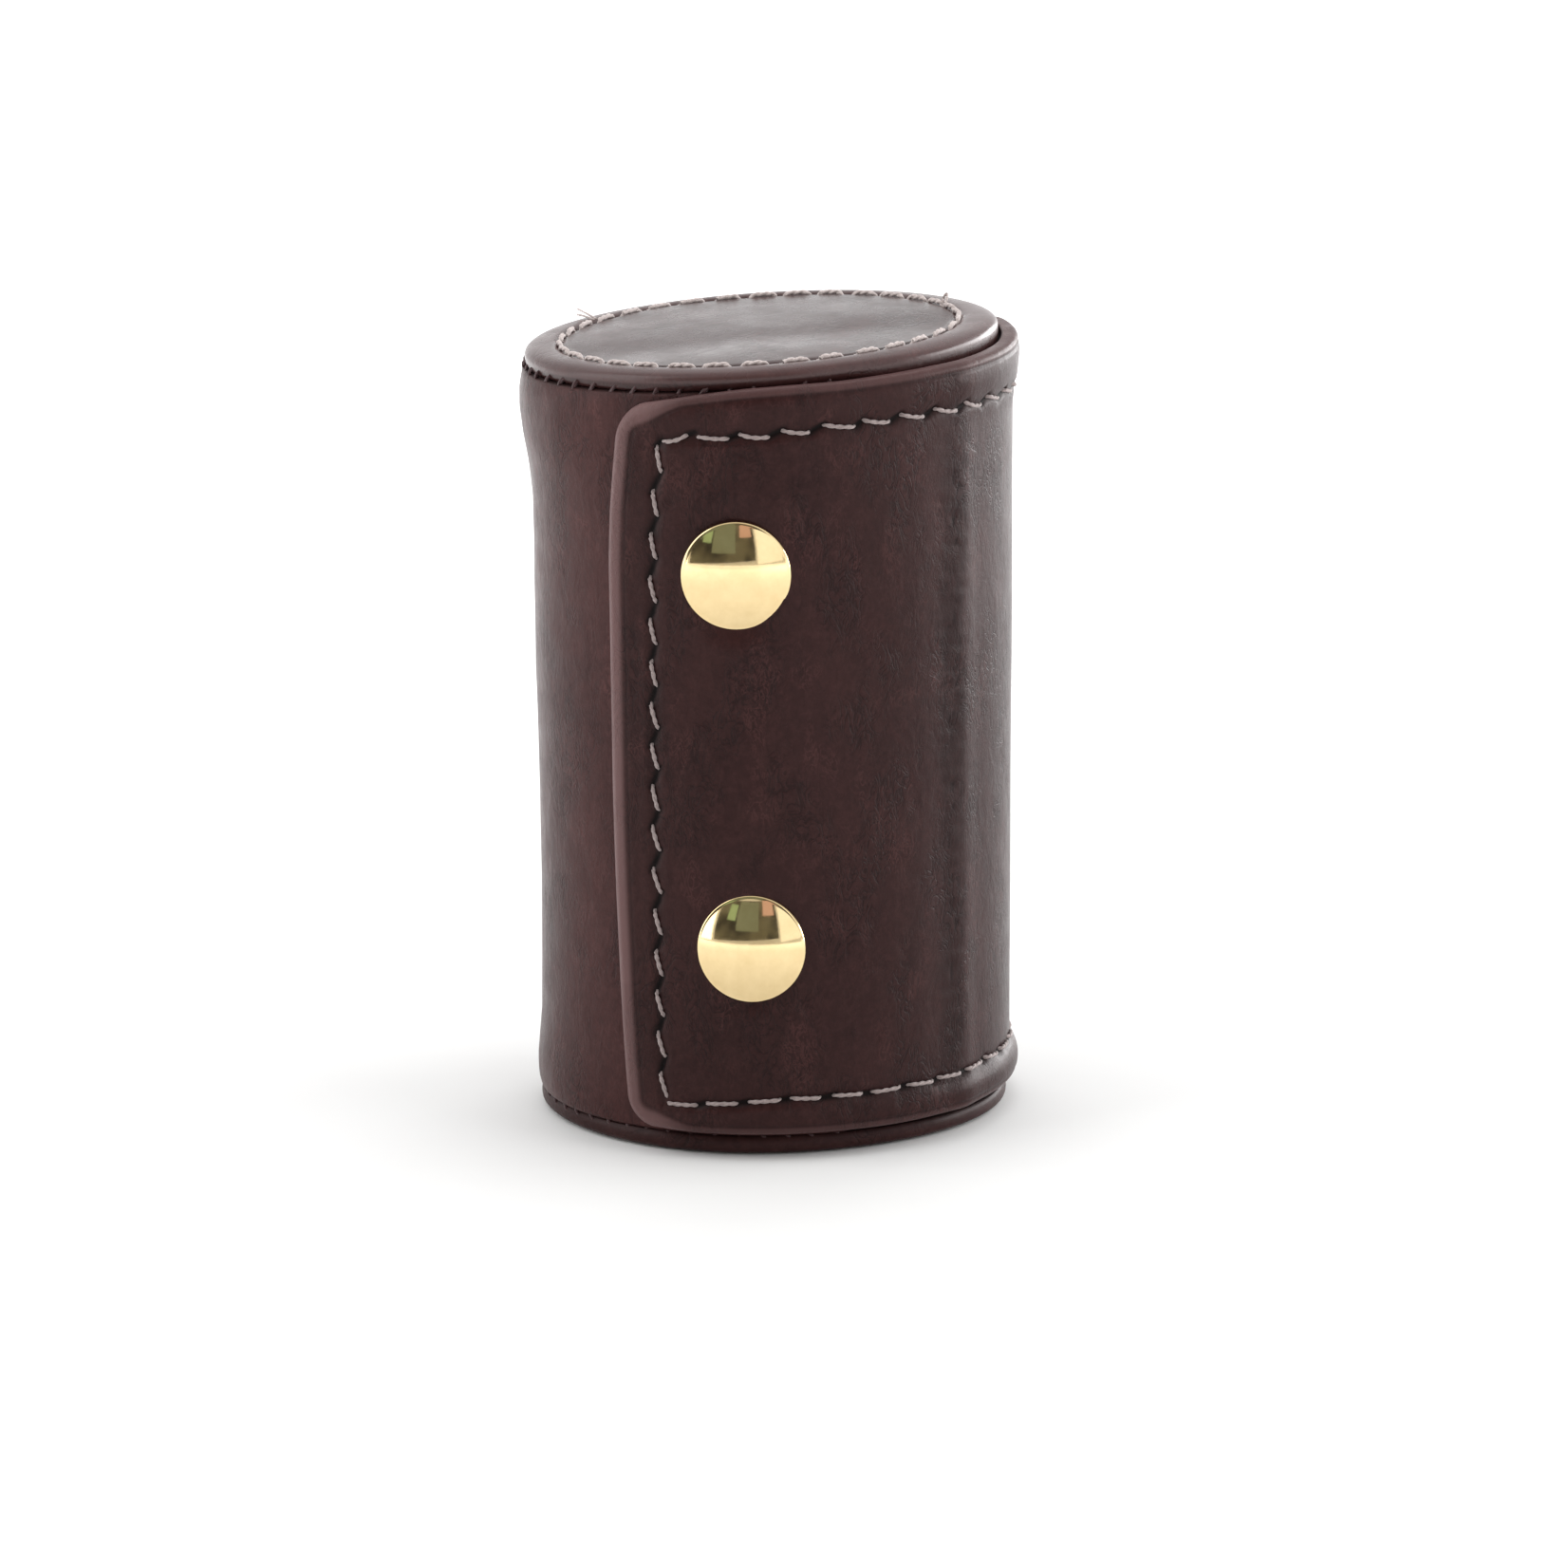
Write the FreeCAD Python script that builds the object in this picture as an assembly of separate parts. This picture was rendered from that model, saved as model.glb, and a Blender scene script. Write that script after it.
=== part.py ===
import FreeCAD, Part
import math
import os

# Leather dice case: a stitched disc at each end, a round wall that is open at the right-hand side,
# and a flap that wraps round the right side and the front and snaps shut on the wall.
# Millimetres. +Z is up and the origin is the middle of the base. The front, with the snaps, faces -Y.
# A "turn" is an angle in degrees about +Z, 0 at the front and positive towards +X.

os.makedirs("parts", exist_ok=True)

# Whole case
RADIUS = 27.0            # wall and end discs
HEIGHT = 92.5            # base to the middle of the top disc's upper face
LEAN_LEFT = 2.8          # the top slopes down to the left and to the front, in degrees
LEAN_FRONT = 4.0

# Layers of the wall, from the outside in, and then of each end disc
LEATHER = 1.2
BOARD = 1.0
LINING = 0.6
DISC_LEATHER = 0.9
DISC_BOARD = 0.9
DISC_LINING = 0.4
DISC = DISC_LEATHER + DISC_BOARD + DISC_LINING

# Wall: it runs from the right-hand side, round the back and the left, to just past the snaps
WALL_FROM = 102.0
WALL_TO = 385.0
WALL_LIP = 2.5           # degrees of leather turned over the wall's two upright ends
DISC_OUTER_ROUND = 1.1
DISC_INNER_ROUND = 0.6
DISC_HOLLOW = RADIUS - LEATHER - DISC_INNER_ROUND

# Flap
FLAP_GAP = 0.35          # between the wall and the flap
FLAP_LEATHER = 1.1
FLAP_STIFFENER = 0.4
FLAP_LINING = 0.5
FLAP = FLAP_LEATHER + FLAP_STIFFENER + FLAP_LINING
FLAP_IN = RADIUS + FLAP_GAP
FLAP_OUT = FLAP_IN + FLAP
TIP_TURN = -31.3
CREASE_TURN = 56.0
ROOT_TURN = 105.0
STRIP_TURN = 140.0
HINGE_CLEARANCE = 0.3    # degrees between a hinge axis and each panel that meets there
FLAP_BOTTOM = 3.0
FLAP_TOP = 88.4          # at the snaps
FLAP_SLOPE = 6.0         # the flap's upper edge rises to the right, in degrees
FLAP_LIP = 1.2           # leather turned over the flap's free edges
TIP_CORNER = 3.4
STRIP_GAP = 0.02         # glue line between the root strip and the wall

# Thread
THREAD = 0.6
STITCH_PITCH = 4.8
STITCH_SHOWN = 3.2
STITCH_SINK = 0.05
RING_RADIUS = 23.4
GROOVE = 0.5
EDGE_ROW_TURN = -20.3
TOP_ROW_HEIGHT = 83.5    # at the snaps
TOP_ROW_SLOPE = 4.3
BOTTOM_ROW_HEIGHT = 6.9
BOTTOM_ROW_SLOPE = 1.2
WALL_ROW_TURN = 20.0
WALL_ROW_SINK = 0.15
STRIP_ROW_TURN = 136.0
SEAM_THREAD = 0.6
SEAM_RADIUS = 26.4
SEAM_REACH = 1.3

# Snap fasteners: the turn and height of each, then distances outwards from the case's axis
SNAPS = {"lower": (1.5, 25.0), "upper": (-0.8, 67.9)}
CAP_RADIUS = 6.25
CAP_RIM = 0.35
CAP_DOME = 1.75
CAP_SEAT = 28.9
CAP_ROOM = 0.15
BARREL_RADIUS = 1.0
FLARE_RADIUS = 1.7
FLARE = 0.12
SOCKET_RADIUS = 5.2
SOCKET_MOUTH = 3.6
SOCKET_FLOOR = 28.25
SOCKET_SEAT = 28.5
STUD_RADIUS = 4.5
STUD_SEAT = 26.2
STUD_FACE = 26.8
NECK_RADIUS = 1.3
BULB_RADIUS = 1.75
BULB_FROM = 27.4
BULB_TO = 27.95
SHANK_RADIUS = 0.9
SHANK_END = 27.2
RIVET_RADIUS = 3.5
RIVET_HEAD = 0.5
WIRE = 0.5
WIRE_SPREAD = 2.1        # from the snap's axis to each spring wire
WIRE_FRONT = 27.65
WIRE_REACH = 3.3

BIG = 200.0              # side of the blocks that trim sloping edges
OVER = 1.0               # how far a cutter runs past what it cuts
UP = FreeCAD.Vector(0, 0, 1)
FRONT = FreeCAD.Vector(0, -1, 0)
WALL_IN = RADIUS - LEATHER - BOARD - LINING

TOP_NORMAL = FreeCAD.Vector(
    -math.tan(math.radians(LEAN_LEFT)), -math.tan(math.radians(LEAN_FRONT)), 1)
FLAP_NORMAL = FreeCAD.Vector(-math.tan(math.radians(FLAP_SLOPE)), 0, 1)


def export(shape, node):
    """Write one node, and say if a solid in it is open."""
    shape = shape.removeSplitter()
    if not shape.isValid() or not all(solid.isClosed() for solid in shape.Solids):
        print("not a closed, valid shape:", node)
    shape.exportStep("parts/" + node + ".step")


def at(radius, turn, height):
    """A point given by its distance from the axis, its turn and its height."""
    angle = math.radians(turn)
    return FreeCAD.Vector(radius * math.sin(angle), -radius * math.cos(angle), height)


def disc(radius, low, high):
    return Part.makeCylinder(radius, high - low, FreeCAD.Vector(0, 0, low))


def sector(inner, outer, low, high, turn_from, turn_to):
    """Part of a tube about Z, between two turns."""
    tube = Part.makeCylinder(outer, high - low, FreeCAD.Vector(0, 0, low), UP, turn_to - turn_from)
    tube = tube.cut(disc(inner, low - OVER, high + OVER))
    tube.rotate(FreeCAD.Vector(), UP, turn_from - 90)
    return tube


def trim_above(shape, height, normal):
    """Cut off what lies above a sloping plane that crosses the axis at a height."""
    block = Part.makeBox(BIG, BIG, BIG, FreeCAD.Vector(-BIG / 2, -BIG / 2, 0))
    block.Placement = FreeCAD.Placement(FreeCAD.Vector(0, 0, height), FreeCAD.Rotation(UP, normal))
    return shape.cut(block)


def rod(start, end, diameter):
    run = end - start
    return Part.makeCylinder(diameter / 2, run.Length, start, run)


def button(radius, start, end):
    """A short cylinder that points to the front, between two distances from the case's axis."""
    return Part.makeCylinder(radius, end - start, FreeCAD.Vector(0, -start, 0), FRONT)


# End discs. Each is built with its outer face at height 0 and its inner face at DISC, then placed.

def disc_cover():
    """Leather over the outer face, turned round the rim to the inner face."""
    cover = disc(RADIUS, 0, DISC)
    for height, rounding in ((0, DISC_OUTER_ROUND), (DISC, DISC_INNER_ROUND)):
        rim = [edge for edge in cover.Edges
               if len(edge.Vertexes) == 1 and abs(edge.Vertexes[0].Z - height) < 0.01]
        cover = cover.makeFillet(rounding, rim)
    cover = cover.cut(disc(DISC_HOLLOW, DISC_LEATHER, DISC + OVER))
    return cover.cut(Part.makeTorus(RING_RADIUS, GROOVE))


def disc_stitches():
    """A ring of stitches sunk in the groove of the outer face."""
    count = round(2 * math.pi * RING_RADIUS / STITCH_PITCH)
    step = 360 / count
    shown = step * STITCH_SHOWN / STITCH_PITCH
    height = THREAD / 2 + STITCH_SINK
    return Part.Compound([
        rod(at(RING_RADIUS, i * step, height), at(RING_RADIUS, i * step + shown, height), THREAD)
        for i in range(count)])


def seam_threads(seam_height):
    """Upright stitches that hold the wall's end to a disc; seam_height gives the seam at x, y."""
    arc = math.radians(WALL_TO - WALL_FROM) * SEAM_RADIUS
    count = round(arc / STITCH_PITCH)
    step = (WALL_TO - WALL_FROM) / count
    threads = []
    for i in range(count):
        seam = at(SEAM_RADIUS, WALL_FROM + (i + 0.5) * step, 0)
        seam.z = seam_height(seam.x, seam.y)
        reach = FreeCAD.Vector(0, 0, SEAM_REACH)
        threads.append(rod(seam - reach, seam + reach, SEAM_THREAD))
    return Part.Compound(threads)


def top_seam(x, y):
    return HEIGHT - DISC - TOP_NORMAL.x * x - TOP_NORMAL.y * y


def base_seam(x, y):
    return DISC


turn_over = FreeCAD.Rotation(UP, TOP_NORMAL).multiply(FreeCAD.Rotation(FreeCAD.Vector(1, 0, 0), 180))
disc_places = {
    "base": FreeCAD.Placement(),
    "top": FreeCAD.Placement(FreeCAD.Vector(0, 0, HEIGHT), turn_over),
}
for end, place in disc_places.items():
    layers = {
        "cover": disc_cover(),
        "board": disc(DISC_HOLLOW, DISC_LEATHER, DISC_LEATHER + DISC_BOARD),
        "lining": disc(DISC_HOLLOW, DISC_LEATHER + DISC_BOARD, DISC),
        "stitching": disc_stitches(),
    }
    for layer, shape in layers.items():
        shape.Placement = place
        export(shape, end + "_" + layer)

export(seam_threads(base_seam), "base_seam_thread")
export(seam_threads(top_seam), "top_seam_thread")


# Wall

def wall_layer(inner, outer, lip):
    shape = sector(inner, outer, DISC, HEIGHT + DISC, WALL_FROM + lip, WALL_TO - lip)
    seam_drop = DISC * TOP_NORMAL.Length
    return trim_above(shape, HEIGHT - seam_drop, TOP_NORMAL)


wall_leather = wall_layer(WALL_IN, RADIUS, 0)
wall_leather = wall_leather.cut(wall_layer(WALL_IN - OVER, RADIUS - LEATHER, WALL_LIP))
wall_board = wall_layer(WALL_IN + LINING, RADIUS - LEATHER, WALL_LIP)
wall_lining = wall_layer(WALL_IN, WALL_IN + LINING, WALL_LIP)


def row_up(radius, turn, low, high):
    """An upright row of stitches."""
    count = round((high - low) / STITCH_PITCH)
    step = (high - low) / count
    return [rod(at(radius, turn, low + i * step), at(radius, turn, low + i * step + STITCH_SHOWN),
                THREAD)
            for i in range(count)]


def row_round(radius, turn_from, turn_to, snap_height, slope):
    """A row of stitches round the flap, at a height that rises to the right."""
    arc = math.radians(turn_to - turn_from) * radius
    count = round(arc / STITCH_PITCH)
    step = (turn_to - turn_from) / count
    shown = step * STITCH_SHOWN / STITCH_PITCH
    rise = math.tan(math.radians(slope))
    stitches = []
    for i in range(count):
        start = at(radius, turn_from + (i + 0.15) * step, snap_height)
        end = at(radius, turn_from + (i + 0.15) * step + shown, snap_height)
        start.z += start.x * rise
        end.z += end.x * rise
        stitches.append(rod(start, end, THREAD))
    return stitches


wall_row = row_up(RADIUS - WALL_ROW_SINK, WALL_ROW_TURN, 2 * DISC, HEIGHT - 3 * DISC)
export(Part.Compound(wall_row), "wall_edge_stitching")


# Flap

def rounded_tip(shape, turn, low, high, corner):
    """Round the two corners of a panel's upright edge, which lies at one turn."""
    depth = FLAP + 2 * OVER
    back = -FLAP_OUT - OVER
    for height, centre in ((low, low + corner), (high, high - corner)):
        bottom = min(height - OVER, centre)
        block = Part.makeBox(corner + OVER, depth, corner + OVER, FreeCAD.Vector(-OVER, back, bottom))
        middle = FreeCAD.Vector(corner, back, centre)
        block = block.cut(Part.makeCylinder(corner, depth, middle, FreeCAD.Vector(0, 1, 0)))
        block.rotate(FreeCAD.Vector(), UP, turn)
        shape = shape.cut(block)
    return shape


def flap_layer(inner, outer, turn_from, turn_to, lip, corner):
    """One layer of the flap, inside its free edges by lip; corner rounds the tip's two corners."""
    low = FLAP_BOTTOM + lip
    shape = sector(inner, outer, low, HEIGHT + DISC, turn_from, turn_to)
    shape = trim_above(shape, FLAP_TOP - lip, FLAP_NORMAL)
    if corner:
        tip_top = FLAP_TOP - lip - FLAP_NORMAL.x * at(FLAP_OUT, turn_from, 0).x
        shape = rounded_tip(shape, turn_from, low, tip_top, corner)
    return shape


def flap_panel(turn_from, turn_to, lip_turn, corner):
    """The leather, stiffener and lining of a panel; lip_turn is the leather turned over its tip."""
    full = flap_layer(FLAP_IN, FLAP_OUT, turn_from, turn_to, 0, corner)
    stiff_in = FLAP_IN + FLAP_LINING
    leather_in = stiff_in + FLAP_STIFFENER
    inside = (turn_from + lip_turn, turn_to, FLAP_LIP, corner and corner - FLAP_LIP)
    hollow = flap_layer(FLAP_IN - OVER, leather_in, *inside)
    return {
        "leather": full.cut(hollow),
        "stiffener": flap_layer(stiff_in, leather_in, *inside),
        "lining": flap_layer(FLAP_IN, stiff_in, *inside),
    }


tip_lip_turn = math.degrees(FLAP_LIP / FLAP_OUT)
front_end = CREASE_TURN - HINGE_CLEARANCE
side_start = CREASE_TURN + HINGE_CLEARANCE
side_end = ROOT_TURN - HINGE_CLEARANCE
strip_start = ROOT_TURN + HINGE_CLEARANCE
front_panel = flap_panel(TIP_TURN, front_end, tip_lip_turn, TIP_CORNER)
side_panel = flap_panel(side_start, side_end, 0, 0)
root_strip = flap_layer(RADIUS + STRIP_GAP, FLAP_OUT, strip_start, STRIP_TURN, 0, 0)

thread_radius = FLAP_OUT - STITCH_SINK
edge_row_rise = math.tan(math.radians(TOP_ROW_SLOPE)) * at(FLAP_OUT, EDGE_ROW_TURN, 0).x
edge_row_top = TOP_ROW_HEIGHT + edge_row_rise


def rows_round(turn_from, turn_to):
    return (row_round(thread_radius, turn_from, turn_to, TOP_ROW_HEIGHT, TOP_ROW_SLOPE)
            + row_round(thread_radius, turn_from, turn_to, BOTTOM_ROW_HEIGHT, BOTTOM_ROW_SLOPE))


front_stitches = rows_round(EDGE_ROW_TURN, front_end)
front_stitches += row_up(thread_radius, EDGE_ROW_TURN, BOTTOM_ROW_HEIGHT, edge_row_top)
side_stitches = rows_round(side_start, side_end)
strip_stitches = rows_round(strip_start, STRIP_ROW_TURN)
strip_stitches += row_up(thread_radius, STRIP_ROW_TURN, BOTTOM_ROW_HEIGHT + THREAD,
                         TOP_ROW_HEIGHT + THREAD)
export(Part.Compound(front_stitches), "flap_front_stitching")
export(Part.Compound(side_stitches), "flap_side_stitching")
export(Part.Compound(strip_stitches), "flap_root_stitching")
export(root_strip, "flap_root_strip")
for layer, shape in side_panel.items():
    export(shape, "flap_side_" + layer)


# Snap fasteners: a cap and a socket with two spring wires on the flap, a stud and a post on the wall.
# Each piece is built at height 0 on the very front, and then placed by its snap's turn and height.

def snap_cap():
    """A domed cap with a barrel through the flap, spread at its end inside the socket."""
    shoulder = CAP_SEAT + CAP_RIM
    sphere_radius = (CAP_RADIUS ** 2 + CAP_DOME ** 2) / (2 * CAP_DOME)
    dome = Part.makeSphere(sphere_radius, FreeCAD.Vector(0, sphere_radius - shoulder - CAP_DOME, 0))
    dome = dome.common(button(CAP_RADIUS, CAP_SEAT, shoulder + CAP_DOME + OVER))
    barrel = button(BARREL_RADIUS, SOCKET_FLOOR, CAP_SEAT)
    flare = button(FLARE_RADIUS, SOCKET_FLOOR - FLARE, SOCKET_FLOOR)
    return dome.fuse([barrel, flare])


def snap_socket():
    cup = button(SOCKET_RADIUS, FLAP_IN, SOCKET_SEAT)
    cup = cup.cut(button(SOCKET_MOUTH, FLAP_IN - OVER, SOCKET_FLOOR))
    return cup.cut(button(BARREL_RADIUS, FLAP_IN, SOCKET_SEAT + OVER))


def snap_spring():
    """Two wires across the socket's mouth, one above and one below the stud."""
    return Part.Compound([
        rod(FreeCAD.Vector(-WIRE_REACH, -WIRE_FRONT, side * WIRE_SPREAD),
            FreeCAD.Vector(WIRE_REACH, -WIRE_FRONT, side * WIRE_SPREAD), WIRE)
        for side in (-1, 1)])


def snap_stud():
    """A flange sunk in the wall's leather, a neck, and the bulb that the springs grip behind."""
    stud = button(STUD_RADIUS, STUD_SEAT, STUD_FACE)
    stud = stud.fuse([button(NECK_RADIUS, STUD_FACE, BULB_FROM),
                      button(BULB_RADIUS, BULB_FROM, BULB_TO)])
    return stud.cut(button(SHANK_RADIUS, STUD_SEAT - OVER, SHANK_END))


def snap_post():
    """A rivet from inside the case, through the wall and into the stud."""
    head = button(RIVET_RADIUS, WALL_IN - RIVET_HEAD, WALL_IN)
    return head.fuse(button(SHANK_RADIUS, WALL_IN, SHANK_END))


for level, (turn, height) in SNAPS.items():
    place = FreeCAD.Placement(FreeCAD.Vector(0, 0, height), FreeCAD.Rotation(UP, turn))
    pieces = {
        "cap": snap_cap(),
        "socket": snap_socket(),
        "spring": snap_spring(),
        "stud": snap_stud(),
        "post": snap_post(),
    }
    for piece, shape in pieces.items():
        shape.Placement = place
        export(shape, level + "_snap_" + piece)

    flap_cuts = [
        button(SOCKET_RADIUS, FLAP_IN - OVER, SOCKET_SEAT),
        button(BARREL_RADIUS, FLAP_IN, CAP_SEAT + OVER),
        button(CAP_RADIUS + CAP_ROOM, CAP_SEAT, FLAP_OUT + OVER),
    ]
    shank_hole = button(SHANK_RADIUS, WALL_IN - OVER, STUD_SEAT + OVER)
    stud_pocket = button(STUD_RADIUS, STUD_SEAT, RADIUS + OVER)
    rivet_pocket = button(RIVET_RADIUS, WALL_IN - OVER, WALL_IN)
    for cutter in [*flap_cuts, shank_hole, stud_pocket, rivet_pocket]:
        cutter.Placement = place.multiply(cutter.Placement)
    for layer in front_panel:
        front_panel[layer] = front_panel[layer].cut(flap_cuts)
    wall_leather = wall_leather.cut([shank_hole, stud_pocket])
    wall_board = wall_board.cut(shank_hole)
    wall_lining = wall_lining.cut([shank_hole, rivet_pocket])

for layer, shape in front_panel.items():
    export(shape, "flap_front_" + layer)
export(wall_leather, "wall_leather")
export(wall_board, "wall_board")
export(wall_lining, "wall_lining")
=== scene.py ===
import math

import bmesh
import bpy
import numpy as np
from mathutils import Matrix, Vector


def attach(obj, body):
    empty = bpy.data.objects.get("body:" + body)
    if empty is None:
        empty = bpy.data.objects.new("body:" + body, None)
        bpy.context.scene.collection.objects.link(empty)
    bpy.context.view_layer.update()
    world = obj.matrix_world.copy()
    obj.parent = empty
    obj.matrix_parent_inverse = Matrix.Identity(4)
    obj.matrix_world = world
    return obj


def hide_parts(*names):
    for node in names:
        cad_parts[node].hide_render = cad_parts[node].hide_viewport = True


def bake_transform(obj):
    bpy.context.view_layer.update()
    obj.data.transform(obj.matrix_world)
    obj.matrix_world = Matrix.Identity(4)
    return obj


# Leather dice case. Lengths are in millimetres until a mesh is made, and in metres in the studio.
# A "turn" is an angle in degrees about the case's axis, 0 at the front and positive to the right.

MM = 0.001

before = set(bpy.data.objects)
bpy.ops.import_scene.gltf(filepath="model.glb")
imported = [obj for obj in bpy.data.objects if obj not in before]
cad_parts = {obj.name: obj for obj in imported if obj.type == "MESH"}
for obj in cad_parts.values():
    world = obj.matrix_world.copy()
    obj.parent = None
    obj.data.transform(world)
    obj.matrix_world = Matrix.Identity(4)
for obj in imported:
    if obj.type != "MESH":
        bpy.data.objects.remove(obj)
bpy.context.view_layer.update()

# ---------------- sizes

RADIUS = 27.0  # outside of the wall and of both discs
HEIGHT = 92.5  # on the axis
LEAN_LEFT, LEAN_FRONT = 2.8, 4.0  # how the top falls, in degrees
DISC = 2.2  # thickness of a disc
DISC_HOLLOW = 25.2  # radius of the hollow in a disc's leather, where its board is
DISC_LEATHER = 0.9  # thickness of that leather
RING_RADIUS = 23.4  # ring of stitches on a disc

WALL_FROM, WALL_TO = 102.0, 385.0  # turns of the wall's two ends
WALL_IN, BOARD_OUT = 24.2, 25.8  # the wall leather's inside, at its lips and outside its board
WALL_LIP = 2.5  # degrees of leather round each end of the wall's board
WALL_ROUND = 0.6  # rounding of the wall's edges

FLAP_IN, FLAP_OUT = 27.35, 29.35
FLAP_FROM = -31.3  # turn at which the flap's tip is laid out, before its bow
JOIN_TURN = 80.0  # where the flap's front and rear pieces meet
STRIP_TURN = 140.0  # where the flap's root strip ends
CREASE_TURN, ROOT_TURN = 56.0, 105.0  # the two hinges
THREAD_RADIUS = 0.255
SEAM_THREAD_RADIUS = 0.26

SNAPS = {"lower": (1.5, 25.0), "upper": (-0.8, 67.9)}  # turn and height of each snap
CAP_RADIUS = 6.25
CAP_SEAT = 28.9  # distance of a cap's flat back from the axis

SLOPE_X = math.tan(math.radians(LEAN_LEFT))
SLOPE_Y = math.tan(math.radians(LEAN_FRONT))
WALL_ARC = math.radians(1) * RADIUS  # millimetres for each degree of turn on the wall
FLAP_ARC = math.radians(1) * FLAP_OUT  # and on the flap
WALL_WAVE, FLAP_WAVE = 0.47, 0.51  # the same, near enough, for laying out uneven waves


def around(radius, turn, height):
    """Points from distances to the axis, turns in degrees and heights."""
    a = np.radians(turn)
    radius, a, height = np.broadcast_arrays(radius, a, height)
    return np.stack([radius * np.sin(a), -radius * np.cos(a), height], -1)


def smooth(x, low, high):
    """0 below low, 1 above high, and a soft step between."""
    t = np.clip((np.asarray(x, float) - low) / (high - low), 0, 1)
    return t * t * (3 - 2 * t)


def bell(x, middle, width):
    """1 at the middle, falling off softly to both sides."""
    return np.exp(-(((np.asarray(x, float) - middle) / width) ** 2))


def ripple(a, b, seed, size, count=7):
    """A soft uneven surface, about -1 to 1, with features of the given size."""
    rng = np.random.default_rng(seed)
    total = 0
    for _ in range(count):
        way = rng.uniform(0, 2 * math.pi)
        step = 2 * math.pi / (size * rng.uniform(0.7, 1.6))
        total = total + np.sin((a * math.cos(way) + b * math.sin(way)) * step + rng.uniform(0, 6.3))
    return total / math.sqrt(count)


def along(x, points, samples=400, softness=12):
    """A curve through (position, value) pairs, with each corner softened over some samples."""
    xs, ys = np.array(points, float).T
    fine = np.linspace(xs[0], xs[-1], samples)
    values = np.interp(fine, xs, ys)
    kernel = np.hanning(2 * softness + 1)
    kernel /= kernel.sum()
    padded = np.concatenate([2 * values[0] - values[softness:0:-1], values,
                             2 * values[-1] - values[-2:-softness - 2:-1]])
    return np.interp(x, fine, np.convolve(padded, kernel, "valid"))


def round_over(gap, radius):
    """How far a rounded edge falls back at a distance from the edge."""
    inside = np.clip(radius - gap, 0, radius)
    return radius - np.sqrt(np.clip(radius ** 2 - inside ** 2, 0, None))


# ---------------- materials

def fill(tree, node, inputs):
    """Set a node's inputs from values, or link them from other nodes' sockets."""
    for name, value in inputs.items():
        if isinstance(value, bpy.types.NodeSocket):
            tree.links.new(value, node.inputs[name])
        else:
            node.inputs[name].default_value = value


def add_node(tree, kind, inputs):
    node = tree.nodes.new("ShaderNode" + kind)
    fill(tree, node, inputs)
    return node


def new_material(name):
    material = bpy.data.materials.new(name)
    material.use_nodes = True
    tree = material.node_tree
    tree.nodes.clear()
    shader = add_node(tree, "BsdfPrincipled", {})
    add_node(tree, "OutputMaterial", {"Surface": shader.outputs["BSDF"]})
    return material, tree, shader


def painted(tree, name, output="Fac"):
    """What a mesh stores at each point: "shade" for painted shade in holes, seams and folds,
    "worn_and_highlight" along edges, partly worn leather and partly a painted highlight, "rest".
    """
    node = add_node(tree, "Attribute", {})
    node.attribute_name = name
    return node.outputs[output]


def stretched(tree, place, scale):
    return add_node(tree, "Mapping", {"Vector": place, "Scale": scale}).outputs["Vector"]


def place_input(tree, stored):
    """Where a point is at rest, in millimetres: from the "rest" attribute, or the object's own axes."""
    if stored:
        return painted(tree, "rest", "Vector")
    return stretched(tree, add_node(tree, "TexCoord", {}).outputs["Object"], (1 / MM, 1 / MM, 1 / MM))


def noise(tree, place, scale, detail=3.0, roughness=0.55, distortion=0.0):
    return add_node(tree, "TexNoise", {"Vector": place, "Scale": scale, "Detail": detail,
                                       "Roughness": roughness, "Distortion": distortion}).outputs["Fac"]


def ramp(tree, value, *stops):
    """A colour for a value, between stops of (position, colour)."""
    node = add_node(tree, "ValToRGB", {"Fac": value})
    elements = node.color_ramp.elements
    while len(elements) < len(stops):
        elements.new(0.5)
    for element, (position, colour) in zip(elements, stops):
        element.position = position
        element.color = (*colour, 1)
    return node.outputs["Color"]


def span(tree, value, low, high, to_low, to_high):
    """A value moved from one range to another, and held inside it."""
    return add_node(tree, "MapRange", {"Value": value, "From Min": low, "From Max": high,
                                       "To Min": to_low, "To Max": to_high}).outputs["Result"]


def maths(tree, operation, a, b):
    node = add_node(tree, "Math", {0: a, 1: b})
    node.operation = operation
    return node.outputs["Value"]


def mix(tree, factor, a, b):
    """A colour between a, a socket, and b, a socket or a colour."""
    node = tree.nodes.new("ShaderNodeMix")
    node.data_type = "RGBA"
    first, second = (next(i for i, s in enumerate(node.inputs) if (s.name, s.type) == (name, "RGBA"))
                     for name in "AB")
    fill(tree, node, {0: factor, first: a, second: (*b, 1) if isinstance(b, tuple) else b})
    return next(s for s in node.outputs if s.type == "RGBA")


def bump(tree, shader, height, distance, after=None):
    """Relief of a height in millimetres, on top of an earlier bump where there is one."""
    node = add_node(tree, "Bump", {"Height": height, "Distance": distance * MM, "Strength": 1.0})
    if after is not None:
        tree.links.new(after, node.inputs["Normal"])
    tree.links.new(node.outputs["Normal"], shader.inputs["Normal"])
    return node.outputs["Normal"]


def wrinkle_lines(tree, place, scale, bare):
    """Thin wandering lines, 1 on a line, in some wider patches only."""
    wander = maths(tree, "SUBTRACT", noise(tree, place, scale, 3, 0.5, 2.2), 0.5)
    line = span(tree, maths(tree, "ABSOLUTE", wander, 0), 0.0, 0.07, 1.0, 0.0)
    patch = span(tree, noise(tree, place, scale * 0.28, 2), bare, bare + 0.12, 0.0, 1.0)
    return maths(tree, "MULTIPLY", line, patch)


def dimmed(colour, share):
    return tuple(c * share for c in colour)


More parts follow.
